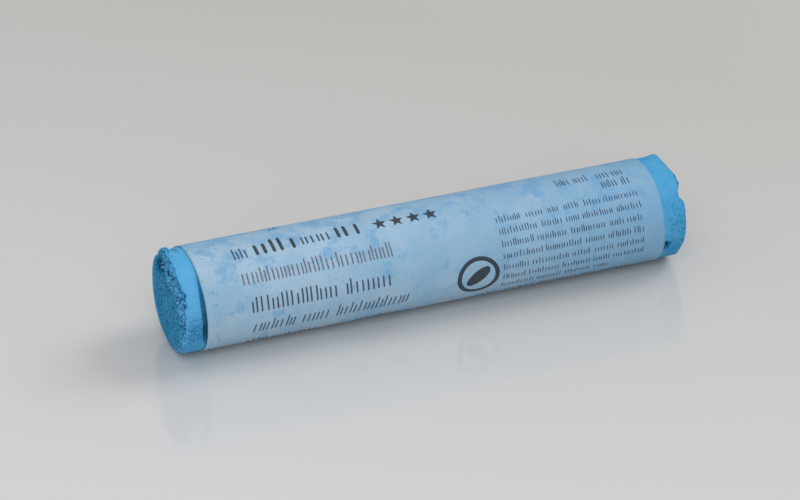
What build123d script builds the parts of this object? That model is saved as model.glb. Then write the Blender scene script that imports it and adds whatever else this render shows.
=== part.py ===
from build123d import *
from math import cos, degrees, radians, sin
import os

# A used soft pastel: a round stick of pressed chalk in a glued paper sleeve, lying on its side.
# Millimetres. X runs along the stick from the broken end to the worn end, and Z = 0 is the surface
# that the sleeve lies on. The origin is under the middle of the stick.

# Driving dimensions of the stick
overall_length = 57.0
chalk_radius = 5.5

# Driving dimensions of the paper sleeve
paper_thickness = 0.1
broken_end_bare = 2.5    # chalk that shows between the broken face and the sleeve
worn_end_bare = 2.7      # chalk that shows between the sleeve and the worn face
lap_width = 3.0          # the glued strip where the paper overlaps itself, along the curve
lap_angle = -20.0        # middle of that strip, around the stick

# Broken end
broken_edge_radius = 0.25
# Scoops where grains have dropped out of the rim: (angle around the stick, scoop radius, depth)
rim_scoops = [
    (20, 0.9, 0.35),
    (72, 1.1, 0.45),
    (104, 1.3, 0.60),
    (128, 0.9, 0.40),
    (151, 1.2, 0.55),
    (176, 0.8, 0.40),
    (203, 0.7, 0.25),
    (262, 1.0, 0.30),
    (318, 0.8, 0.30),
]

# Worn end
worn_edge_radius = 0.4
# Flats rubbed across the rim: (angle around the stick, width across the face, length along the side)
worn_flats = [
    (92, 0.75, 0.75),
    (207, 0.50, 0.45),
    (300, 0.35, 0.30),
]
notch_angle = 137.0
notch_radius = 0.6
notch_depth = 0.4
pit_angle = 205.0
pit_radius = 0.5
pit_depth = 0.2
pit_inset = 1.8          # from the worn face to the middle of the pit

# Worked out from the sizes above
sleeve_radius = chalk_radius + paper_thickness
axis_height = sleeve_radius
broken_x = -overall_length / 2
worn_x = overall_length / 2
sleeve_x = broken_x + broken_end_bare
sleeve_length = overall_length - broken_end_bare - worn_end_bare
lap_radius = sleeve_radius + paper_thickness
lap_sweep = degrees(lap_width / sleeve_radius)
lap_start = lap_angle - lap_sweep / 2


def section(x):
    """The plane across the stick at x, with its own X along +Y and its own Y along +Z."""
    return Plane(origin=(x, 0, axis_height), x_dir=(0, 1, 0), z_dir=(1, 0, 0))


def place(x, radius, angle):
    """A point at x, at a radius from the axis and an angle around it, counted from +Y towards +Z."""
    return (x, radius * cos(radians(angle)), axis_height + radius * sin(radians(angle)))


def worn_flat(angle, width, length):
    """The plane of one rubbed flat, facing out of the worn end and away from the axis."""
    facing = (width, length * cos(radians(angle)), length * sin(radians(angle)))
    return Plane(origin=place(worn_x, chalk_radius - width, angle), z_dir=facing)


# The chalk: one pressed stick
with BuildPart() as pastel_stick:
    with BuildSketch(section(broken_x)):
        Circle(chalk_radius)
    extrude(amount=overall_length)
    fillet(pastel_stick.edges().group_by(Axis.X)[-1], worn_edge_radius)
    fillet(pastel_stick.edges().group_by(Axis.X)[0], broken_edge_radius)

    for angle, width, length in worn_flats:
        split(bisect_by=worn_flat(angle, width, length), keep=Keep.BOTTOM)
    with Locations(place(worn_x + notch_radius - notch_depth, chalk_radius, notch_angle)):
        Sphere(notch_radius, mode=Mode.SUBTRACT)
    with Locations(place(worn_x - pit_inset, chalk_radius + pit_radius - pit_depth, pit_angle)):
        Sphere(pit_radius, mode=Mode.SUBTRACT)

    for angle, radius, depth in rim_scoops:
        with Locations(place(broken_x + depth - radius, chalk_radius, angle)):
            Sphere(radius, mode=Mode.SUBTRACT)
pastel_stick.part.label = "pastel_stick"

# The paper: one sheet wrapped around the chalk, with its last few millimetres glued over its start
with BuildPart() as paper_label:
    with BuildSketch(section(sleeve_x)):
        Circle(sleeve_radius)
        with BuildLine():
            inner = CenterArc((0, 0), chalk_radius, lap_start, lap_sweep)
            outer = CenterArc((0, 0), lap_radius, lap_start, lap_sweep)
            Line(inner @ 0, outer @ 0)
            Line(inner @ 1, outer @ 1)
        make_face()
        Circle(chalk_radius, mode=Mode.SUBTRACT)
    extrude(amount=sleeve_length)
paper_label.part.label = "paper_label"

os.makedirs("parts", exist_ok=True)
export_step(pastel_stick.part, "parts/pastel_stick.step")
export_step(paper_label.part, "parts/paper_label.step")
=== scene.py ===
import random
from math import cos, degrees, exp, pi, radians, sin, sqrt

import bpy
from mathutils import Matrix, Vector, noise


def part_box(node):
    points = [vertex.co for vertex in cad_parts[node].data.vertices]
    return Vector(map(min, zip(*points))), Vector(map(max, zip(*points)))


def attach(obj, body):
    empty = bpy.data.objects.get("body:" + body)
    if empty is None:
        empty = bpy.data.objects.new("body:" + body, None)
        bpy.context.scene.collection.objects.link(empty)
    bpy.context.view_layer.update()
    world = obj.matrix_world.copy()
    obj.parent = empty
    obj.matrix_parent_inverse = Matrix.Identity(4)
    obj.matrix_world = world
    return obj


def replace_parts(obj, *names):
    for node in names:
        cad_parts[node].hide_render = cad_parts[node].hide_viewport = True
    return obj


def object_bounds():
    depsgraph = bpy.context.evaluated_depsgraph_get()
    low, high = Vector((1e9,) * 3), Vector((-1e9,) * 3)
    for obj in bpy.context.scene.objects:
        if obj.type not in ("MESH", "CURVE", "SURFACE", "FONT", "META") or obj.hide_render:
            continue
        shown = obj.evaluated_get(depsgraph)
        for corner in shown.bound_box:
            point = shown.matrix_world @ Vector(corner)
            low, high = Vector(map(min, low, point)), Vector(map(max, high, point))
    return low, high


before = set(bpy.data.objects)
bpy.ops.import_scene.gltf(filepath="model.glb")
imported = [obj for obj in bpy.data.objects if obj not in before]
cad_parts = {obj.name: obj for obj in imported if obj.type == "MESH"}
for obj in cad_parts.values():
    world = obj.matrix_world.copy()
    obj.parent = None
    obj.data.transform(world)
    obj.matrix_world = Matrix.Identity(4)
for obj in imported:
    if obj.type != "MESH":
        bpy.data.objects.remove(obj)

# Blender's vector noise starts from the clock unless it is given a seed
noise.seed_set(3)

# A soft pastel stick: one chalk stick with a broken and a worn end, in a lapped paper sleeve whose
# print is plain strokes. Shapes are worked out in millimetres around the stick's axis: x along the
# stick, an angle around it in degrees from +Y towards +Z, and a radius. Vertices are in metres.

MM = 0.001
cad_low, cad_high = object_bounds()
stick_low, stick_high = (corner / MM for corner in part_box("pastel_stick"))
label_low, label_high = (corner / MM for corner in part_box("paper_label"))

BROKEN_X, WORN_X = stick_low.x, stick_high.x
LABEL_START, LABEL_END = label_low.x, label_high.x
CHALK_RADIUS = (stick_high.z - stick_low.z) / 2
AXIS_HEIGHT = (stick_high.z + stick_low.z) / 2
LABEL_RADIUS = AXIS_HEIGHT
PAPER = LABEL_RADIUS - CHALK_RADIUS

# Chalk
HIDDEN_INSET = 0.06        # how far the chalk under the paper stays inside it
BROKEN_EDGE = 0.30         # radius of the broken rim
WORN_EDGE = 0.40           # radius of the worn rim
PLAIN_INSIDE = 0.4         # how far inside the paper's edges the hidden chalk turns plain
RIM_SEGMENTS = 400         # points around the stick
RIM_STEPS = 5              # steps over a rounded rim
BROKEN_RINGS = 64          # rings of points on each end's face
WORN_RINGS = 60

# Paper
LAP_ANGLE = -20.0          # middle of the glued overlap
LAP_WIDTH = 3.0            # along the curve
SKEW = 0.003               # how far the sheet's edges lean along the stick, per degree around it
SKEW_CENTRE = 170.0        # the angle where they don't lean
FLARE_LIFT = 0.27          # how far the paper stands off the chalk at the broken end
FLARE_ANGLE = 168.0        # where it stands off most
FLARE_SPREAD = 40.0        # how far that reaches around the stick
FLARE_LENGTH = 2.6         # and along it
INK_LIFT = 0.012           # how far the print lies above the paper


# ---------------------------------------------------------------- shape helpers

def smooth(low, high, value):
    """0 up to low, 1 from high, and a soft step between them."""
    t = min(1.0, max(0.0, (value - low) / (high - low)))
    return t * t * (3 - 2 * t)


def turn_between(a, b):
    """The signed angle from b to a, the short way round."""
    return (a - b + 180.0) % 360.0 - 180.0


def near_angle(angle, centre, spread):
    """1 at the centre angle, fading over the spread on both sides of it."""
    return exp(-(turn_between(angle, centre) / spread) ** 2)


def along(table, value):
    """Straight-line reading of a short table of (place, size) pairs."""
    if value <= table[0][0]:
        return table[0][1]
    for (a, low), (b, high) in zip(table, table[1:]):
        if value <= b:
            return low + (high - low) * (value - a) / (b - a)
    return table[-1][1]


def place(x, angle, radius):
    """The point at a place along the stick, an angle around its axis and a distance from it."""
    a = radians(angle)
    return Vector((x, radius * cos(a), AXIS_HEIGHT + radius * sin(a)))


def outward(angle):
    """The way straight out from the axis at an angle."""
    return place(0, angle, 1.0) - place(0, angle, 0.0)


def crack(point, size):
    """How deep the gap between lumps is, 0 to 1, and a value from -1 to 1 that one lump keeps all over."""
    distances, centres = noise.voronoi(point / size)
    gap = 1 - smooth(0.0, 0.32, distances[1] - distances[0])
    return gap, noise.noise(centres[0] * 7.31)


def add_mesh(name, points, faces, material, tones=None, soft=True):
    """A piece that rides on the object, from points in millimetres with an optional tone for each."""
    mesh = bpy.data.meshes.new(name)
    mesh.from_pydata([tuple(p * MM) for p in points], [], faces)
    mesh.update()
    if tones is not None:
        layer = mesh.attributes.new("tone", "FLOAT_COLOR", "POINT")
        for item, tone in zip(layer.data, tones):
            item.color = tone
    for polygon in mesh.polygons:
        polygon.use_smooth = soft
    mesh.materials.append(material)
    piece = bpy.data.objects.new(name, mesh)
    bpy.context.scene.collection.objects.link(piece)
    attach(piece, "root")
    return piece


# ---------------------------------------------------------------- material helpers

def srgb(r, g, b):
    """A colour from 0 to 255 as linear values."""
    def linear(c):
        c = c / 255
        return c / 12.92 if c <= 0.04045 else ((c + 0.055) / 1.055) ** 2.4
    return (linear(r), linear(g), linear(b), 1.0)


def new_material(name):
    material = bpy.data.materials.new(name)
    material.use_nodes = True
    nodes = material.node_tree.nodes
    return material, nodes, material.node_tree.links, nodes["Principled BSDF"]


def noise_node(nodes, links, size, detail=4.0, roughness=0.6):
    """Noise with features of about the given size in millimetres, in the object's own space."""
    place_node = nodes.new("ShaderNodeTexCoord")
    texture = nodes.new("ShaderNodeTexNoise")
    texture.inputs["Scale"].default_value = 1 / (size * MM)
    texture.inputs["Detail"].default_value = detail
    texture.inputs["Roughness"].default_value = roughness
    links.new(place_node.outputs["Object"], texture.inputs["Vector"])
    return texture.outputs["Fac"]


def ramp_node(nodes, links, value, stops):
    """Colour stops of (position, colour) read by a value."""
    ramp = nodes.new("ShaderNodeValToRGB")
    while len(ramp.color_ramp.elements) < len(stops):
        ramp.color_ramp.elements.new(1.0)
    for element, (position, colour) in zip(ramp.color_ramp.elements, stops):
        element.position = position
        element.color = colour
    links.new(value, ramp.inputs["Fac"])
    return ramp.outputs["Color"]


def level_node(nodes, links, value, low, high, out_low=0.0, out_high=1.0):
    """A value between low and high, stretched to lie between out_low and out_high."""
    levels = nodes.new("ShaderNodeMapRange")
    levels.inputs["From Min"].default_value = low
    levels.inputs["From Max"].default_value = high
    levels.inputs["To Min"].default_value = out_low
    levels.inputs["To Max"].default_value = out_high
    links.new(value, levels.inputs["Value"])
    return levels.outputs["Result"]


def math_node(nodes, links, operation, a, b):
    node = nodes.new("ShaderNodeMath")
    node.operation = operation
    for socket, value in zip(node.inputs, (a, b)):
        if isinstance(value, (int, float)):
            socket.default_value = value
        else:
            links.new(value, socket)
    return node.outputs["Value"]


def mix_node(nodes, links, amount, a, b):
    node = nodes.new("ShaderNodeMix")
    node.data_type = "RGBA"
    factor, first, second = node.inputs[0], node.inputs[6], node.inputs[7]
    for socket, value in ((factor, amount), (first, a), (second, b)):
        if isinstance(value, (int, float, tuple)):
            socket.default_value = value
        else:
            links.new(value, socket)
    return node.outputs[2]


def bump_node(nodes, links, height, distance, strength):
    bump = nodes.new("ShaderNodeBump")
    bump.inputs["Strength"].default_value = strength
    bump.inputs["Distance"].default_value = distance * MM
    links.new(height, bump.inputs["Height"])
    return bump.outputs["Normal"]


def tone_node(nodes):
    tone = nodes.new("ShaderNodeAttribute")
    tone.attribute_name = "tone"
    return tone.outputs["Color"]


# ---------------------------------------------------------------- materials

CHALK_DEEP = srgb(2, 72, 108)
CHALK_MID = srgb(34, 130, 178)
CHALK_LIGHT = srgb(82, 164, 213)
CHALK_DUST_AND_HIGHLIGHT = srgb(128, 192, 228)
PAPER_BLUE = srgb(136, 174, 201)
PAPER_PALE = srgb(164, 188, 208)
PAPER_DUSTY = srgb(84, 148, 196)
PAPER_SHADED = srgb(98, 153, 190)
PAPER_GLINT = srgb(196, 213, 226)
FLOOR_LIGHT = srgb(213, 215, 216)
FLOOR_DIM = srgb(190, 187, 182)


def chalk_material():
    """Pressed chalk: dull and grainy, dusted paler in clouds; its tone carries painted shade in its gaps and
    painted highlight on its crests.
    """
    material, nodes, links, shader = new_material("pressed_chalk")
    grain = noise_node(nodes, links, 0.16, 5.0, 0.7)
    cloud = noise_node(nodes, links, 2.2, 3.0)
    # Dark tones are painted shade in gaps and hollows; the top stop is both the dust colour and a painted
    # highlight
    base = ramp_node(nodes, links, tone_node(nodes), [
        (0.0, CHALK_DEEP), (0.45, CHALK_MID), (0.8, CHALK_LIGHT), (1.0, CHALK_DUST_AND_HIGHLIGHT)])
    dusting = level_node(nodes, links, cloud, 0.35, 0.75, 0.0, 0.22)
    clouded = mix_node(nodes, links, dusting, base, CHALK_DUST_AND_HIGHLIGHT)
    speckle = level_node(nodes, links, grain, 0.30, 0.46, 0.32, 0.0)
    colour = mix_node(nodes, links, speckle, clouded, CHALK_DEEP)
    links.new(colour, shader.inputs["Base Color"])
    links.new(bump_node(nodes, links, grain, 0.05, 0.55), shader.inputs["Normal"])
    links.new(level_node(nodes, links, grain, 0.2, 0.8, 0.82, 1.0), shader.inputs["Roughness"])
    shader.inputs["Specular IOR Level"].default_value = 0.12
    return material


def paper_colour(nodes, links):
    """The colour and the fibres of thin paper with chalk dust in it: clouds, smudges, fine specks and painted
    glints.
    """
    cloud = noise_node(nodes, links, 6.0, 4.0, 0.62)
    smudge = noise_node(nodes, links, 2.3, 8.0, 0.74)
    specks = noise_node(nodes, links, 0.34, 3.0, 0.6)
    fibre = noise_node(nodes, links, 0.09, 2.0)
    pale = mix_node(nodes, links, level_node(nodes, links, cloud, 0.38, 0.66), PAPER_BLUE, PAPER_PALE)
    split = nodes.new("ShaderNodeSeparateXYZ")
    links.new(nodes.new("ShaderNodeTexCoord").outputs["Object"], split.inputs["Vector"])
    towards_worn = level_node(nodes, links, split.outputs["X"], -10 * MM, LABEL_END * MM, 0.0, 0.70)
    base = mix_node(nodes, links, towards_worn, pale, PAPER_SHADED)
    upper = AXIS_HEIGHT + 3.0
    on_top = level_node(nodes, links, split.outputs["Z"], upper * MM, 2 * LABEL_RADIUS * MM, 0.0, 0.07)
    smudged = math_node(nodes, links, "ADD", smudge, on_top)
    dust = level_node(nodes, links, smudged, 0.55, 0.64, 0.0, 0.55)
    dusted = mix_node(nodes, links, dust, base, PAPER_DUSTY)
    speck_amount = math_node(nodes, links, "MULTIPLY",
                             level_node(nodes, links, specks, 0.60, 0.70, 0.0, 0.8),
                             level_node(nodes, links, cloud, 0.42, 0.62, 0.25, 1.0))
    specked = mix_node(nodes, links, speck_amount, dusted, CHALK_LIGHT)
    glints = level_node(nodes, links, noise_node(nodes, links, 0.20, 2.0), 0.67, 0.74, 0.0, 0.4)
    specked = mix_node(nodes, links, glints, specked, PAPER_GLINT)
    fibres = level_node(nodes, links, fibre, 0.3, 0.7, 0.0, 0.10)
    return mix_node(nodes, links, fibres, specked, PAPER_PALE), fibre


def paper_material():
    material, nodes, links, shader = new_material("dusty_paper")
    colour, fibre = paper_colour(nodes, links)
    rubbed = tone_node(nodes)
    links.new(mix_node(nodes, links, rubbed, colour, CHALK_LIGHT), shader.inputs["Base Color"])
    links.new(bump_node(nodes, links, fibre, 0.012, 0.35), shader.inputs["Normal"])
    links.new(level_node(nodes, links, fibre, 0.2, 0.8, 0.52, 0.66), shader.inputs["Roughness"])
    shader.inputs["Specular IOR Level"].default_value = 0.35
    return material


def ink_material():
    """Ink on the dusty paper: rubbed away in grains, so that the paper's own colour shows through."""
    material, nodes, links, shader = new_material("rubbed_ink")
    paper, fibre = paper_colour(nodes, links)
    ink = nodes.new("ShaderNodeAttribute")
    ink.attribute_name = "tone"
    grain = noise_node(nodes, links, 0.13, 3.0, 0.65)
    patch = noise_node(nodes, links, 1.6, 3.0, 0.6)
    wear = math_node(nodes, links, "ADD",
                     math_node(nodes, links, "MULTIPLY", grain, 0.6),
                     math_node(nodes, links, "MULTIPLY", patch, 0.4))
    kept = math_node(nodes, links, "SUBTRACT", ink.outputs["Alpha"], wear)
    amount = level_node(nodes, links, kept, -0.03, 0.05, 0.0, 0.92)
    links.new(mix_node(nodes, links, amount, paper, ink.outputs["Color"]), shader.inputs["Base Color"])
    links.new(bump_node(nodes, links, fibre, 0.012, 0.35), shader.inputs["Normal"])
    links.new(level_node(nodes, links, fibre, 0.2, 0.8, 0.50, 0.64), shader.inputs["Roughness"])
    shader.inputs["Specular IOR Level"].default_value = 0.35
    return material


def fleck_material():
    material, nodes, links, shader = new_material("flecks")
    grain = noise_node(nodes, links, 0.12, 3.0)
    shade = mix_node(nodes, links, level_node(nodes, links, grain, 0.35, 0.65, 0.0, 0.35),
                     tone_node(nodes), (0.02, 0.05, 0.08, 1.0))
    links.new(shade, shader.inputs["Base Color"])
    shader.inputs["Roughness"].default_value = 0.9
    return material


def floor_material():
    """A pale glossy board, a little lighter towards its near left corner: a painted falloff of the light."""
    material, nodes, links, shader = new_material("pale_board")
    place_node = nodes.new("ShaderNodeTexCoord")
    towards_light = nodes.new("ShaderNodeVectorMath")
    towards_light.operation = "DOT_PRODUCT"
    towards_light.inputs[1].default_value = (-0.69, -0.72, 0.0)
    links.new(place_node.outputs["Object"], towards_light.inputs[0])
    lightness = level_node(nodes, links, towards_light.outputs["Value"], -60 * MM, 60 * MM)
    links.new(mix_node(nodes, links, lightness, FLOOR_DIM, FLOOR_LIGHT), shader.inputs["Base Color"])
    shader.inputs["Roughness"].default_value = 0.14
    shader.inputs["Specular IOR Level"].default_value = 0.9
    return material


# ---------------------------------------------------------------- the chalk

# How wide the crumbled band inside the broken rim is, around the stick
CRUMBLED_WIDTH = [(40, 0.5), (70, 3.2), (110, 3.6), (150, 2.7), (185, 1.8), (225, 0.9), (300, 0.5)]
CRUMBLED_MIDDLE, CRUMBLED_SPREAD = 135, 70
# Deeper hollows in that band: (angle, distance in from the rim, size, depth)
FACE_HOLLOWS = [
    (40, 1.1, 0.60, 0.30),
    (56, 1.5, 0.75, 0.45),
    (73, 1.7, 0.65, 0.50),
    (90, 1.8, 0.65, 0.50),
    (104, 3.3, 0.60, 0.40),
    (112, 1.7, 0.45, 0.45),
    (121, 0.8, 0.35, 0.40),
    (128, 2.3, 0.40, 0.35),
    (136, 0.7, 0.30, 0.40),
    (150, 1.2, 0.40, 0.40),
    (168, 0.9, 0.30, 0.35),
    (188, 0.9, 0.28, 0.30),
]
# The gap beside the lifted paper, darkened with a painted shadow of the paper: it opens and closes between
# these angles
GAP_OPENS, GAP_WIDEST, GAP_NARROWS, GAP_CLOSES = 112, 162, 196, 222
GAP_WIDTH, GAP_DEPTH = 0.38, 0.28
# Flats rubbed across the worn rim: (angle, width across the face, length along the side)
WORN_FLATS = [(92, 0.80, 0.80), (214, 0.42, 0.40), (300, 0.35, 0.30)]


def side_stations(start, finish, steps):
    """Stations evenly along the stick's side, after start and up to finish."""
    return [(start + (finish - start) * i / steps, CHALK_RADIUS, 0.0, 1.0) for i in range(1, steps + 1)]


def rim_stations(rim_x, edge, inwards):
    """Stations around a rounded rim, after its face and up to its side.

    Inwards is the way from the face into the stick along x, 1 or -1.
    """
    stations = []
    for i in range(1, RIM_STEPS + 1):
        a = radians(90 * i / RIM_STEPS)
        x = rim_x + inwards * edge * (1 - cos(a))
        stations.append((x, CHALK_RADIUS - edge * (1 - sin(a)), -inwards * cos(a), sin(a)))
    return stations


def stick_profile():
    """Stations from the middle of the broken face to the middle of the worn one.

    Each is (x, radius, the normal's part along x, the normal's part away from the axis).
    """
    stations = []
    for i in range(1, BROKEN_RINGS + 1):
        radius = (CHALK_RADIUS - BROKEN_EDGE) * (i / BROKEN_RINGS) ** 0.92
        stations.append((BROKEN_X, radius, -1.0, 0.0))
    stations += rim_stations(BROKEN_X, BROKEN_EDGE, 1)
    shown_to = LABEL_START + 0.9
    worn_from = LABEL_END - 0.7
    stations += side_stations(BROKEN_X + BROKEN_EDGE, shown_to, 38)
    stations += side_stations(shown_to, worn_from, 10)
    stations += side_stations(worn_from, WORN_X - WORN_EDGE, 36)
    worn_rim = rim_stations(WORN_X, WORN_EDGE, -1)
    worn_rim.pop()         # the side's last station is the same one
    stations += reversed(worn_rim)
    for i in range(WORN_RINGS):
        stations.append((WORN_X, (CHALK_RADIUS - WORN_EDGE) * (1 - i / WORN_RINGS), 1.0, 0.0))
    return stations


def broken_relief(point, angle, radius, normal_x):
    """The broken end's (distance out or in, sideways shift of its grains, tone from 0 dark to 1 pale, with
    painted shade and painted highlight in it).
    """
    from_face = point.x - BROKEN_X
    on_face = max(0.0, -normal_x)
    lump_size, piece_size, grain_size = 0.95, 0.45, 0.22
    warped = point + noise.noise_vector(point / 0.7) * 0.30
    lump_gap, lump_height = crack(warped, lump_size)
    piece_gap, piece_height = crack(warped + Vector((7.7, 0, 0)), piece_size)
    grain_gap, grain_height = crack(point + Vector((3.1, 0, 0)), grain_size)
    fine = noise.noise(point / 0.13)
    pores = smooth(0.10, 0.45, noise.noise(point / 0.24) + 0.25 * noise.noise(point / 0.75))
    pits = smooth(0.12, 0.45, noise.noise(point / 0.45 + Vector((0, 9, 0))))
    swell = noise.noise(point / 1.9)

    # The crumbled ridge along the rim and the plainer break inside it
    width = along(CRUMBLED_WIDTH, angle % 360)
    crumbled = near_angle(angle, CRUMBLED_MIDDLE, CRUMBLED_SPREAD)
    band = smooth(CHALK_RADIUS - width - 0.6, CHALK_RADIUS - width + 0.4, radius)
    uneven_side = max(0.0, noise.noise(Vector((angle / 9, 1.7, 0))))
    side_reach = 0.16 + 0.85 * uneven_side * near_angle(angle, 135, 60)
    ridge = band * crumbled * (1 - smooth(side_reach, side_reach + 0.12, from_face))
    clear_of_rim = 1 - 0.8 * smooth(CHALK_RADIUS - 0.9, CHALK_RADIUS - 0.3, radius)
    plain_face = on_face * (1 - band * crumbled) * clear_of_rim
    out = ridge * (-0.16 - 0.50 * lump_gap ** 2 + 0.28 * lump_height)
    out += ridge * (-0.26 * piece_gap ** 2 + 0.14 * piece_height)
    out += ridge * (-0.08 * grain_gap + 0.05 * grain_height + 0.03 * fine)
    out += plain_face * (-0.18 + 0.09 * swell - 0.10 * pores)
    out += plain_face * (-0.12 * pits - 0.05 * grain_gap + 0.035 * fine)
    # Tone: painted shade on the broken face and in its gaps, pores and pits; painted highlight on lumps and
    # grains that stand out
    tone = 0.80 + 0.03 * swell - 0.19 * plain_face - 0.05 * ridge
    tone -= ridge * (0.70 * lump_gap ** 2 + 0.42 * piece_gap ** 2 + 0.16 * grain_gap)
    tone += ridge * (0.16 * lump_height + 0.10 * piece_height)
    tone -= plain_face * (0.26 * pores + 0.26 * pits + 0.14 * grain_gap - 0.22 * fine)

    for hollow_angle, inwards, size, depth in FACE_HOLLOWS:
        middle = place(BROKEN_X, hollow_angle, CHALK_RADIUS - inwards)
        away = (point - middle).length / size + 0.35 * fine + 0.5 * noise.noise(point / 0.5)
        hollow = exp(-away ** 2) * on_face
        out -= depth * hollow
        # painted shade in the hollow
        tone -= 0.75 * hollow

    # A rough patch low on the side, beside the paper, a little darker all over and with painted shade in its
    # gaps
    patch = near_angle(angle, 193, 19) * smooth(0.30, 0.75, from_face + 0.5 * noise.noise(point / 0.7))
    out += patch * (-0.11 * grain_gap + 0.07 * grain_height + 0.05 * fine - 0.08 * piece_gap)
    tone += patch * (-0.22 * grain_gap + 0.10 * grain_height - 0.05 - 0.16 * piece_gap ** 2)

    # A lump that stands proud at the top, with painted shade in its gaps and a dip behind it, and a rim
    # rounded off elsewhere
    lump = near_angle(angle, 76, 15) * (1 - smooth(0.75, 1.05, from_face))
    lump_top = smooth(CHALK_RADIUS - 1.6, CHALK_RADIUS - 0.2, radius)
    out += 0.40 * lump * lump_top * (1 - 0.6 * piece_gap - 0.2 * grain_gap)
    tone -= lump * (0.45 * piece_gap ** 2 + 0.15 * grain_gap)
    out -= 0.30 * near_angle(angle, 70, 14) * exp(-((from_face - 1.40) / 0.30) ** 2)
    rounding = 0.32 * near_angle(angle, 255, 50) + 0.16 * near_angle(angle, 0, 60)
    rounding += 0.30 * near_angle(angle, 48, 9)
    at_rim = smooth(CHALK_RADIUS - 0.9, CHALK_RADIUS - 0.1, radius)
    out -= rounding * at_rim * (1 - smooth(0.0, 0.9, from_face))

    # The gap beside the lifted paper: cut in, and darkened with a painted shadow of the paper
    opening = smooth(GAP_OPENS, GAP_WIDEST, angle) * (1 - smooth(GAP_NARROWS, GAP_CLOSES, angle))
    gap_start = LABEL_START + paper_skew(angle) - GAP_WIDTH * opening + 0.03 * fine
    gap = opening * smooth(gap_start - 0.05, gap_start + 0.05, point.x)
    out -= GAP_DEPTH * gap
    tone -= 0.62 * gap
    return out, 0.13 * ridge + 0.05 * patch, tone


def worn_relief(point, angle, radius, normal_x):
    """The same for the worn end, which is rubbed smooth but pitted."""
    from_face = WORN_X - point.x
    on_face = max(0.0, normal_x)
    grain_gap, grain_height = crack(point, 0.28)
    chip_gap, chip_height = crack(point + Vector((5.5, 0, 0)), 0.55)
    swell = noise.noise(point / 1.6)
    lower = near_angle(angle, 190, 44) * (1 - smooth(1.6, 2.8, from_face))
    near_rim = 1 - smooth(0.1, 0.7, from_face + 0.3 * noise.noise(point / 0.6))
    rubbed = max(0.75 * on_face, 0.75 * lower, 0.6 * near_rim)
    pores = smooth(0.22, 0.5, noise.noise(point / 0.22))
    out = 0.012 * swell + rubbed * (-0.055 * grain_gap + 0.035 * grain_height - 0.10 * pores)
    # Tone: the rubbed parts a little darker, with painted shade in their grain gaps and pores and painted
    # highlight on their grains
    tone = 0.70 + 0.07 * swell - rubbed * (0.03 + 0.22 * grain_gap - 0.16 * grain_height + 0.40 * pores)

    # A swelling beside the rim, a ragged stretch of the rim with painted shade in its chip gaps, and a notch
    # in it darkened with painted shade
    swelling = near_angle(angle, 64, 14) * exp(-((from_face - 0.55) / 0.5) ** 2)
    out += 0.14 * swelling * (1 - on_face)
    at_rim = smooth(CHALK_RADIUS - 1.2, CHALK_RADIUS - 0.4, radius + 0.4 * noise.noise(point / 0.5))
    ragged = at_rim * near_angle(angle, 122, 17) * (1 - smooth(0.25, 0.55, from_face))
    out += ragged * (-0.16 * chip_gap + 0.14 * chip_height - 0.06 * grain_gap)
    tone -= ragged * (0.40 * chip_gap ** 2 + 0.15 * grain_gap)
    notch_x, notch_turn = from_face / 0.50, turn_between(angle, 138) / 7.0
    notch = at_rim * exp(-(notch_x ** 2 + notch_turn ** 2) ** 1.4)
    out -= 0.40 * notch * (1 + 0.25 * chip_height)
    tone -= 0.10 * notch

    # A pit in the side, next to the paper, darkened with painted shade
    uneven = 0.9 * noise.noise(point / 0.30)
    pit_x, pit_turn = (point.x - LABEL_END - 0.38) / 0.52, turn_between(angle, 202) / 7.5
    pit = exp(-max(0.0, pit_x ** 2 + pit_turn ** 2 + uneven) ** 2)
    out -= 0.45 * pit * (1 - on_face)
    tone -= 0.62 * pit
    return out, 0.05 * rubbed + 0.06 * ragged, tone


def cut_worn_flats(point, angle):
    """Chips the worn rim back, then moves its points onto the flats rubbed across it."""
    chipped = 0.34 * near_angle(angle, 139, 6.0) + 0.14 * near_angle(angle, 210, 4)
    chipped += 0.16 * near_angle(angle, 124, 12) * noise.noise(Vector((angle / 2.3, 8.1, 0)))
    from_axis = sqrt(point.y ** 2 + (point.z - AXIS_HEIGHT) ** 2)
    chipped *= smooth(CHALK_RADIUS - 1.5, CHALK_RADIUS - 0.5, from_axis + 0.4 * noise.noise(point / 0.6))
    point = point - Vector((chipped * (1 - smooth(0.0, 1.3, WORN_X - point.x)), 0, 0))
    for flat_angle, width, length in WORN_FLATS:
        a = radians(flat_angle)
        facing = Vector((width, length * cos(a), length * sin(a))).normalized()
        start = place(WORN_X, flat_angle, CHALK_RADIUS - width)
        uneven = 0.03 * noise.noise(point / 0.5)
        beyond = (point - start).dot(facing) + uneven
        if beyond > 0:
            point = point - facing * beyond
    return point


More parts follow.
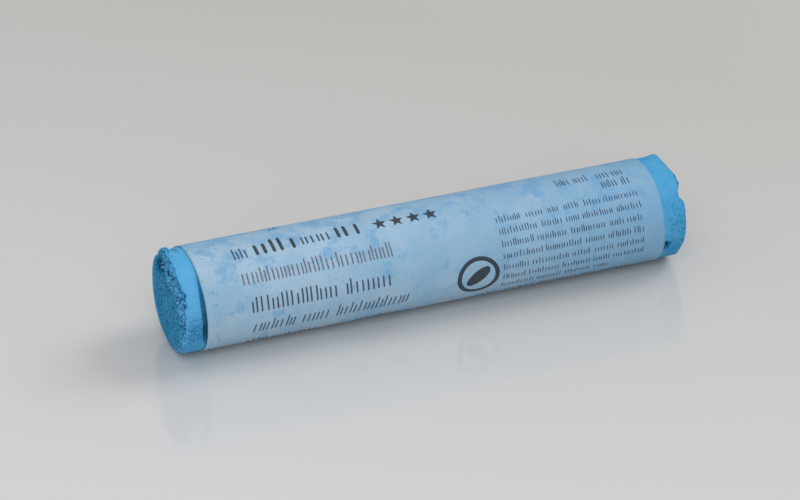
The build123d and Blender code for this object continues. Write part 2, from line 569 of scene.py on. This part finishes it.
def build_stick(material):
    points, tones = [], []
    middle = (BROKEN_X + WORN_X) / 2
    for x, radius, normal_x, normal_out in stick_profile():
        for i in range(RIM_SEGMENTS):
            angle = 360 * i / RIM_SEGMENTS
            a = radians(angle)
            point = place(x, angle, radius)
            normal = Vector((normal_x, normal_out * cos(a), normal_out * sin(a)))
            relief = broken_relief if x < middle else worn_relief
            out, shift, tone = relief(point, angle, radius, normal_x)
            if LABEL_START + PLAIN_INSIDE < x < LABEL_END - PLAIN_INSIDE:
                out, shift = -HIDDEN_INSET, 0.0
            moved = point + normal * out
            if shift:
                moved += noise.noise_vector(point / 0.4) * shift
            if x > LABEL_END:
                moved = cut_worn_flats(moved, angle)
            moved.x = max(BROKEN_X, min(WORN_X, moved.x))
            points.append(moved)
            tone = min(1.0, max(0.0, tone))
            tones.append((tone, tone, tone, 1.0))
    rows = len(points) // RIM_SEGMENTS
    faces = []
    for row in range(rows - 1):
        for i in range(RIM_SEGMENTS):
            j = (i + 1) % RIM_SEGMENTS
            a, b = row * RIM_SEGMENTS, (row + 1) * RIM_SEGMENTS
            faces.append((a + i, a + j, b + j, b + i))
    for row, order in ((0, -1), (rows - 1, 1)):
        ring = range(row * RIM_SEGMENTS, (row + 1) * RIM_SEGMENTS)
        hub = len(points)
        points.append(sum((points[k] for k in ring), Vector()) / RIM_SEGMENTS)
        tones.append(tones[ring[0]])
        for i in range(RIM_SEGMENTS):
            pair = (ring[i], ring[(i + 1) % RIM_SEGMENTS])
            faces.append((hub, *pair[::order]))
    return add_mesh("chalk_stick", points, faces, material, tones)


# ---------------------------------------------------------------- crumbs

class Lumps:
    """Small uneven lumps gathered into one mesh."""

    def __init__(self):
        self.points, self.faces, self.tones = [], [], []

    def add(self, centre, size, seed, stretch=(1, 1, 1), rings=4, around=7):
        """One closed lump, a ball pushed about by noise. Returns the way each of its points faces."""
        first = len(self.points)
        turns = [2 * pi * j / around for j in range(around)]
        ways = [Vector((0, 0, 1))]
        for i in range(1, rings):
            polar = pi * i / rings
            ways += [Vector((sin(polar) * cos(turn), sin(polar) * sin(turn), cos(polar))) for turn in turns]
        ways.append(Vector((0, 0, -1)))
        apart = Vector((seed, 0, 0))
        for way in ways:
            reach = 1 + 0.50 * noise.noise(way * 1.3 + apart) + 0.38 * noise.noise(way * 3.1 + apart)
            self.points.append(centre + Vector([size * reach * w * s for w, s in zip(way, stretch)]))
        last = len(self.points) - 1
        for j in range(around):
            k = (j + 1) % around
            self.faces.append((first, first + 1 + j, first + 1 + k))
            for i in range(rings - 2):
                a = first + 1 + i * around
                b = a + around
                self.faces.append((a + j, b + j, b + k, a + k))
            self.faces.append((last - around + j, last, last - around + k))
        return ways


def build_crumbs(material):
    """Chunks and crumbs that still hold to the broken rim, thickest on its crumbled side."""
    chance = random.Random(11)
    lumps = Lumps()

    def crumb(centre, size, seed, shade, facing, stretch=(1, 1, 1), rings=4, around=7):
        """A lump with painted shade on its sheltered side, the side turned away from facing."""
        for way in lumps.add(centre, size, seed, stretch, rings, around):
            tone = shade - 0.26 * (1 - smooth(-0.6, 0.5, way.dot(facing)))
            lumps.tones.append((tone, tone, tone, 1.0))

    chunks, crumbs, patch_crumbs = 96, 420, 110
    for number in range(chunks):
        angle = 74 + 138 * chance.random() ** 1.25
        width = along(CRUMBLED_WIDTH, angle)
        size = (0.12 + 0.24 * chance.random() ** 1.5) * (0.65 + 0.35 * near_angle(angle, 95, 50))
        inwards = 0.10 + (chance.random() ** 1.3) * (width - 0.4)
        depth = size * chance.uniform(1.0, 1.45) + 0.06
        centre = place(BROKEN_X + depth, angle, CHALK_RADIUS - 0.6 * size - inwards)
        facing = (outward(angle) * 0.7 - Vector((1, 0, 0))).normalized()
        stretch = [chance.uniform(0.75, 1.25) for _ in range(3)]
        crumb(centre, size, number * 2.3, 0.72 + 0.18 * chance.random(), facing, stretch, 12, 18)
    for number in range(crumbs):
        angle = min(232.0, max(66.0, chance.gauss(138, 40)))
        width = along(CRUMBLED_WIDTH, angle)
        inwards = min(1.0, abs(chance.gauss(0, 0.45))) * width
        size = 0.04 + 0.12 * chance.random() ** 2
        depth = 0.05 + 0.40 * chance.random()
        centre = place(BROKEN_X + depth + 0.7 * size, angle, CHALK_RADIUS - 0.12 - 0.6 * size - inwards)
        crumb(centre, size, number * 3.7, 0.66 + 0.28 * chance.random(), Vector((-1, 0, 0)))
    for number in range(patch_crumbs):
        angle = chance.gauss(192, 12)
        centre = place(LABEL_START - 1.25 + chance.gauss(0, 0.40), angle, CHALK_RADIUS - 0.01)
        size = 0.04 + 0.07 * chance.random() ** 2
        crumb(centre, size, number * 5.1, 0.66 + 0.18 * chance.random(), outward(angle))
    add_mesh("rim_crumbs", lumps.points, lumps.faces, material, lumps.tones, soft=False)


# ---------------------------------------------------------------- the paper

LAP_SWEEP = degrees(LAP_WIDTH / LABEL_RADIUS)
SHEET_FROM = LAP_ANGLE - LAP_SWEEP / 2
SHEET_TURN = 360 + LAP_SWEEP


def paper_skew(angle):
    """How far the sheet's edges have moved along the stick at an angle."""
    return SKEW * (angle - SKEW_CENTRE)


def paper_radius(x, turned):
    """The sheet's outer radius at x, where turned is the angle from the sheet's first edge."""
    angle = SHEET_FROM + turned
    lapped = PAPER * smooth(354, 361, turned)
    from_start = x - LABEL_START - paper_skew(angle)
    from_end = LABEL_END + paper_skew(angle) - x
    off_floor = 1 - near_angle(angle, 270, 30)
    lifted = (1 - smooth(-0.2, FLARE_LENGTH, from_start)) ** 1.6
    flare = FLARE_LIFT * near_angle(angle, FLARE_ANGLE, FLARE_SPREAD) * lifted
    curl = 0.05 * (1 - smooth(0.0, 1.4, from_end)) * (0.5 + 0.5 * noise.noise(Vector((angle / 25, 3.3, 0))))
    folds = noise.noise(Vector((x / 9, cos(radians(angle)) * 1.6, sin(radians(angle)) * 1.6)))
    ripple = noise.noise(Vector((x / 2.6, cos(radians(angle)) * 3.2, 5 + sin(radians(angle)) * 3.2)))
    return LABEL_RADIUS + lapped + off_floor * (flare + curl + 0.016 * folds + 0.006 * ripple)


CLOSER_AT_ENDS = 0.5       # draws the sheet's rows of points together towards its two ends


def top_dust(x, angle):
    """Blue dust rubbed along the top of the sleeve near the broken end."""
    from_start = x - LABEL_START
    streak = near_angle(angle, 62, 10) * smooth(0.6, 1.6, from_start) * (1 - smooth(4.5, 8.5, from_start))
    return streak * smooth(-0.45, 0.05, noise.noise(Vector((x / 1.1, angle / 9, 2.2))))


def build_label(material):
    """One thin sheet wound once round the chalk, with its last edge glued over its first."""
    across, around = 118, 150
    points, tones = [], []
    for layer in (0.0, PAPER * 0.96):
        for i in range(around + 1):
            turned = SHEET_TURN * i / around
            angle = SHEET_FROM + turned
            ragged = 0.035 * noise.noise(Vector((angle / 6, 0.5, 0)))
            for j in range(across + 1):
                t = j / across
                t -= CLOSER_AT_ENDS * sin(2 * pi * t) / (2 * pi)
                x = LABEL_START + paper_skew(angle) + ragged + (LABEL_END - LABEL_START) * t
                points.append(place(x, angle, paper_radius(x, turned) - layer))
                edge = min(t, 1 - t) * (LABEL_END - LABEL_START)
                rub = 0.30 * (1 - smooth(0.02, 0.25, edge)) + 0.75 * top_dust(x, angle)
                rub += 0.35 if layer else 0.0
                tones.append((rub, rub, rub, 1.0))
    faces = []
    row = across + 1
    inner = (around + 1) * row
    for i in range(around):
        for j in range(across):
            a, b = i * row + j, (i + 1) * row + j
            faces.append((a, b, b + 1, a + 1))
            faces.append((inner + a, inner + a + 1, inner + b + 1, inner + b))
        for j, flip in ((0, True), (across, False)):
            a, b = i * row + j, (i + 1) * row + j
            side = (a, b, inner + b, inner + a)
            faces.append(side[::-1] if flip else side)
    for i, flip in ((0, False), (around, True)):
        for j in range(across):
            a = i * row + j
            side = (a, a + 1, inner + a + 1, inner + a)
            faces.append(side[::-1] if flip else side)
    return add_mesh("paper_sleeve", points, faces, material, tones)


# ---------------------------------------------------------------- print

BLACK_INK = srgb(26, 30, 40)
BROWN_INK = srgb(100, 98, 112)
SLATE_INK = srgb(42, 60, 84)
GREY_INK = srgb(58, 78, 106)
SMALL_INK = srgb(36, 52, 74)
INK_THICKNESS = 0.02


class Print:
    """Plain printed marks on the paper, placed by distance from the sleeve's start and angle around it."""

    def __init__(self):
        self.points, self.faces, self.tones = [], [], []

    def spot(self, along_label, up, angle, ink, keep):
        """One point, up millimetres above the line at the angle."""
        on = angle - degrees(up / LABEL_RADIUS)
        x = LABEL_START + paper_skew(on) + along_label
        self.points.append(place(x, on, paper_radius(x, on - SHEET_FROM) + INK_LIFT))
        self.tones.append((*ink[:3], keep))
        return len(self.points) - 1

    def bar(self, start, end, low, high, angle, ink, keep, lean=0.0):
        """A bar with rounded ends from low to high above the line at the angle."""
        height = high - low
        rows = max(4, round(height / 0.14))
        columns = max(2, round((end - start) / 0.30))
        corner = min(0.5 * height, 0.5 * (end - start), 0.3) * 0.98
        grid = []
        for i in range(rows + 1):
            up = height * i / rows
            into_corner = max(0.0, corner - min(up, height - up))
            inset = corner - sqrt(corner ** 2 - into_corner ** 2 * 0.98)
            left, right = start + inset + lean * up, end - inset + lean * up
            grid.append([self.spot(left + (right - left) * j / columns, low + up, angle, ink, keep)
                         for j in range(columns + 1)])
        for below, above in zip(grid, grid[1:]):
            for j in range(columns):
                self.faces.append((below[j], below[j + 1], above[j + 1], above[j]))

    def strokes(self, chance, start, end, height, weight, angle, ink, keep, lean=0.0):
        """A stand-in for one word: upright strokes of two heights with uneven gaps."""
        x = start
        while x < end:
            tall = 1.32 if chance.random() < 0.26 else 1.0
            self.bar(x, x + weight, 0.0, height * tall, angle, ink, keep, lean)
            x += weight * chance.uniform(2.2, 3.8)

    def outline(self, centre, angle, shape, scales, ink, keep, filled):
        """Bands between scaled copies of a closed shape of (x, up) points, with its middle filled or open."""
        loops = [[self.spot(centre + x * s, up * s, angle, ink, keep) for x, up in shape] for s in scales]
        count = len(shape)
        for inner, outer in zip(loops, loops[1:]):
            for i in range(count):
                j = (i + 1) % count
                self.faces.append((inner[i], outer[i], outer[j], inner[j]))
        if filled:
            hub = self.spot(centre, 0.0, angle, ink, keep)
            self.faces += [(hub, loops[0][i], loops[0][(i + 1) % count]) for i in range(count)]

    def star(self, centre, angle, radius, ink, keep):
        corners = []
        for i in range(10):
            reach = radius * (1.0 if i % 2 == 0 else 0.42)
            a = radians(90 + 36 * i)
            corners.append((reach * cos(a), reach * sin(a)))
        shape = []
        for (x0, y0), (x1, y1) in zip(corners, corners[1:] + corners[:1]):
            shape += [(x0 + (x1 - x0) * k / 3, y0 + (y1 - y0) * k / 3) for k in range(3)]
        self.outline(centre, angle, shape, [0.25, 0.5, 0.75, 1.0], ink, keep, True)

    def ring_mark(self, centre, angle, radius, ink, keep):
        """A plain ring round a slanted oval."""
        circle = [(radius * cos(radians(6 * i)), radius * sin(radians(6 * i))) for i in range(60)]
        self.outline(centre, angle, circle, [0.80, 0.87, 0.94, 1.0], ink, keep, False)
        across, along_up = cos(radians(38)), sin(radians(38))
        flat = [(0.66 * x, 0.30 * y) for x, y in circle]
        oval = [(x * across - y * along_up, x * along_up + y * across) for x, y in flat]
        self.outline(centre, angle, oval, [0.25, 0.5, 0.75, 1.0], ink, keep, True)


# The block at the broken end: (angle of the line, height, weight, ink, how much is kept, lean, words)
LEFT_LINES = [
    (117.0, 1.15, 0.17, SLATE_INK, 0.78, 0.0, [(4.4, 6.2)]),
    (116.0, 1.45, 0.36, BLACK_INK, 0.95, 0.0, [(6.8, 11.3)]),
    (114.0, 1.10, 0.19, SLATE_INK, 0.82, 0.0, [(12.0, 15.3)]),
    (114.0, 1.55, 0.36, BLACK_INK, 0.95, 0.0, [(15.9, 18.4)]),
    (147.0, 1.30, 0.16, BROWN_INK, 0.64, 0.0, [(4.5, 21.2)]),
    (178.5, 1.35, 0.18, SLATE_INK, 0.84, 0.0, [(5.0, 14.2), (15.4, 20.5)]),
    (206.5, 1.30, 0.17, GREY_INK, 0.80, 0.22, [(5.0, 9.4), (10.4, 13.2), (14.2, 22.5)]),
    (236.0, 1.00, 0.17, SLATE_INK, 0.76, 0.0, [(4.8, 12.8), (16.9, 21.8)]),
]
STAR_PLACES = [20.8, 22.7, 24.6, 26.5]
STAR_ANGLE, STAR_RADIUS = 105.5, 0.82
RING_PLACE, RING_ANGLE, RING_RADIUS = 30.2, 189.0, 2.4
# The short lines at the worn end, then the block of small lines below them
RIGHT_LINES = [
    (102.0, 0.92, 0.11, SMALL_INK, 0.78, 0.0, [(41.3, 42.7), (43.3, 45.0), (46.0, 47.2), (47.8, 49.2)]),
    (116.5, 0.92, 0.11, SMALL_INK, 0.80, 0.0, [(46.0, 47.6), (48.3, 49.1)]),
]
PARAGRAPH_START, PARAGRAPH_END = 33.1, 49.4
PARAGRAPH_TOP = 133.0
PARAGRAPH_PITCH = 13.6
PARAGRAPH_LINES = 7
SMALL_HEIGHT, SMALL_WEIGHT = 0.62, 0.10
# The bolder line below that block
LOWEST_START, LOWEST_END = 30.4, 48.3
LOWEST_ANGLE, LOWEST_WEIGHT = 232.0, 0.15
WORD_GAP = 0.50


def paragraph_words(chance, start, end):
    """Word lengths that fill one line from end to end."""
    words, lengths = [], []
    while sum(lengths) + WORD_GAP * len(lengths) < end - start - 2.0:
        lengths.append(chance.uniform(1.0, 3.9))
    stretch = (end - start - WORD_GAP * (len(lengths) - 1)) / sum(lengths)
    x = start
    for length in lengths:
        words.append((x, x + length * stretch))
        x += length * stretch + WORD_GAP
    return words


def build_print(material):
    chance = random.Random(4)
    sheet = Print()
    for angle, height, weight, ink, keep, lean, words in LEFT_LINES + RIGHT_LINES:
        for start, end in words:
            sheet.strokes(chance, start, end, height, weight, angle, ink, keep, lean)
    for centre in STAR_PLACES:
        sheet.star(centre, STAR_ANGLE, STAR_RADIUS, BLACK_INK, 0.98)
    sheet.ring_mark(RING_PLACE, RING_ANGLE, RING_RADIUS, BLACK_INK, 0.90)
    for line in range(PARAGRAPH_LINES):
        angle = PARAGRAPH_TOP + PARAGRAPH_PITCH * line
        end = PARAGRAPH_END if line < PARAGRAPH_LINES - 1 else PARAGRAPH_END - 4.0
        for start, stop in paragraph_words(chance, PARAGRAPH_START, end):
            sheet.strokes(chance, start, stop, SMALL_HEIGHT, SMALL_WEIGHT, angle, SMALL_INK, 0.80)
    for start, stop in paragraph_words(chance, LOWEST_START, LOWEST_END):
        sheet.strokes(chance, start, stop, SMALL_HEIGHT, LOWEST_WEIGHT, LOWEST_ANGLE, BLACK_INK, 0.85)
    piece = add_mesh("printed_marks", sheet.points, sheet.faces, material, sheet.tones)
    film = piece.modifiers.new("film", "SOLIDIFY")
    film.thickness = INK_THICKNESS * MM
    film.offset = -1


def build_flecks(material):
    """Specks of chalk and dirt caught on the paper."""
    chance = random.Random(23)
    blue, white = srgb(78, 150, 200)[:3], srgb(214, 226, 236)[:3]
    yellow, rust, dark = srgb(200, 204, 172)[:3], srgb(180, 130, 96)[:3], srgb(44, 60, 84)[:3]
    lumps = Lumps()

    def fleck(from_start, angle, size, colour):
        x = LABEL_START + paper_skew(angle) + from_start
        centre = place(x, angle, paper_radius(x, angle - SHEET_FROM))
        ways = lumps.add(centre, size, len(lumps.points))
        lumps.tones += [(*colour, 1.0)] * len(ways)

    fleck(0.35, 133, 0.15, yellow)
    fleck(8.0, 175, 0.07, rust)
    fleck(8.4, 181, 0.05, rust)
    for _ in range(90):
        size = 0.02 + 0.05 * chance.random() ** 3
        colour = chance.choice([blue, blue, blue, white, white, white, dark])
        fleck(51 * chance.random() ** 1.4 + 0.3, chance.uniform(40, 255), size, colour)
    for _ in range(24):
        fleck(abs(chance.gauss(0, 0.8)) + 0.05, chance.uniform(60, 240), 0.03 + 0.04 * chance.random(), blue)
    # A small cluster on top, near the broken end
    for _ in range(14):
        fleck(10.0 + chance.gauss(0, 0.5), 74 + chance.gauss(0, 3), 0.05 + 0.05 * chance.random(), blue)
    add_mesh("paper_flecks", lumps.points, lumps.faces, material, lumps.tones)


# ---------------------------------------------------------------- floor, light and camera

def build_floor(material):
    mesh = bpy.data.meshes.new("floor")
    reach = 1.6
    mesh.from_pydata([(-reach, -reach, 0), (reach, -reach, 0), (reach, reach, 0), (-reach, reach, 0)],
                     [], [(0, 1, 2, 3)])
    mesh.materials.append(material)
    floor = bpy.data.objects.new("floor", mesh)
    floor.location.z = cad_low.z
    bpy.context.scene.collection.objects.link(floor)


def area_light(name, direction, distance, size, power):
    """A square soft light that faces the middle of the object."""
    light = bpy.data.lights.new(name, "AREA")
    light.size = size
    light.energy = power
    lamp = bpy.data.objects.new(name, light)
    way = Vector(direction).normalized()
    lamp.location = (cad_low + cad_high) / 2 + way * distance
    lamp.rotation_mode = "QUATERNION"
    lamp.rotation_quaternion = (-way).to_track_quat("-Z", "Y")
    bpy.context.scene.collection.objects.link(lamp)


def build_light():
    area_light("key", (1.0, 0.10, 0.95), distance=0.75, size=0.40, power=2.1)
    area_light("fill", (-0.35, -1.0, 0.80), distance=0.9, size=0.80, power=4.0)
    world = bpy.data.worlds.new("studio")
    world.use_nodes = True
    back = world.node_tree.nodes["Background"]
    back.inputs["Color"].default_value = (0.80, 0.81, 0.82, 1)
    back.inputs["Strength"].default_value = 0.66
    bpy.context.scene.world = world


def build_camera():
    azimuth, elevation, distance = radians(-21.64), radians(29.64), 406.6
    back = Vector((sin(azimuth) * cos(elevation), -cos(azimuth) * cos(elevation), sin(elevation)))
    target = Vector(((BROKEN_X + WORN_X) / 2 - 2.47, 0, AXIS_HEIGHT + 0.83))
    camera = bpy.data.cameras.new("camera")
    camera.sensor_width = 36
    camera.lens = 173.2
    camera.clip_start, camera.clip_end = 0.01, 10
    holder = bpy.data.objects.new("camera", camera)
    holder.location = (target + back * distance) * MM
    holder.rotation_mode = "QUATERNION"
    holder.rotation_quaternion = (-back).to_track_quat("-Z", "Y")
    bpy.context.scene.collection.objects.link(holder)
    bpy.context.scene.camera = holder


build_camera()
build_light()
build_floor(floor_material())
chalk = chalk_material()
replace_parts(build_stick(chalk), "pastel_stick")
build_crumbs(chalk)
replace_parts(build_label(paper_material()), "paper_label")
build_print(ink_material())
build_flecks(fleck_material())
bpy.context.scene.view_settings.view_transform = "Standard"
